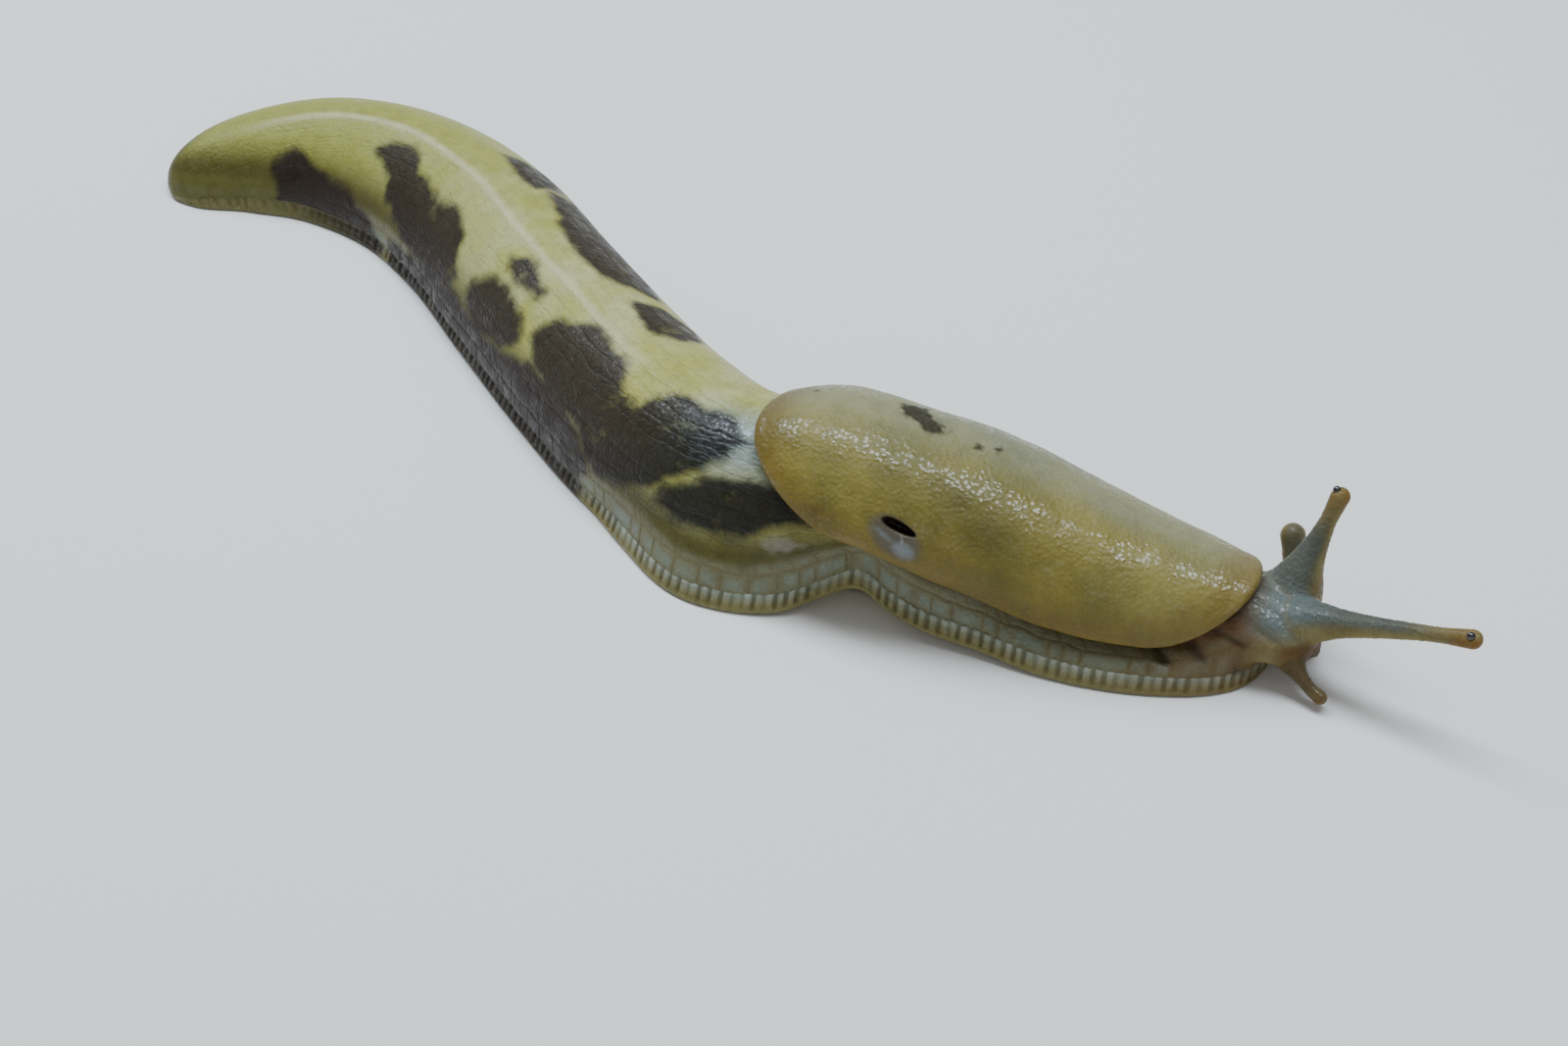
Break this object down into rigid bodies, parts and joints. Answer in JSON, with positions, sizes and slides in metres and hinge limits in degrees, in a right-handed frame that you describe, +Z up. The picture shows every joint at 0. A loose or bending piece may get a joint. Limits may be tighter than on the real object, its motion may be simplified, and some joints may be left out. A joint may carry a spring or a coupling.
{
  "type": "banana slug model",
  "caption": "Life-size still model of a crawling banana slug with a blotched body, ridged foot fringe, saddle mantle and extended feelers.",
  "frame": {"origin": "on the floor under the middle of the box", "axes": "+X along the slug's length towards its head, +Y to its left, +Z up"},
  "size_m": [0.183, 0.053, 0.0213],
  "materials": {
    "skin": "wet and finely furrowed",
    "mantle_skin": "wet and finely grained",
    "fringe": "wet, upright ridges",
    "feeler": "wet and slightly see-through",
    "eye": "glossy black"
  },
  "bodies": {
    "root": {"tail_end": "skin", "tail": "skin", "trunk_rear": "skin", "trunk_middle": "skin", "trunk_front": "skin", "neck": "skin", "head": "skin", "mantle": "mantle_skin", "foot_tail": "fringe", "foot_rear": "fringe", "foot_middle": "fringe", "foot_front": "fringe", "foot_toe": "fringe", "upper_feeler_right": "feeler", "upper_feeler_left": "feeler", "lower_feeler_right": "feeler", "lower_feeler_left": "feeler", "eye_right": "eye", "eye_left": "eye"}
  },
  "joints": []
}
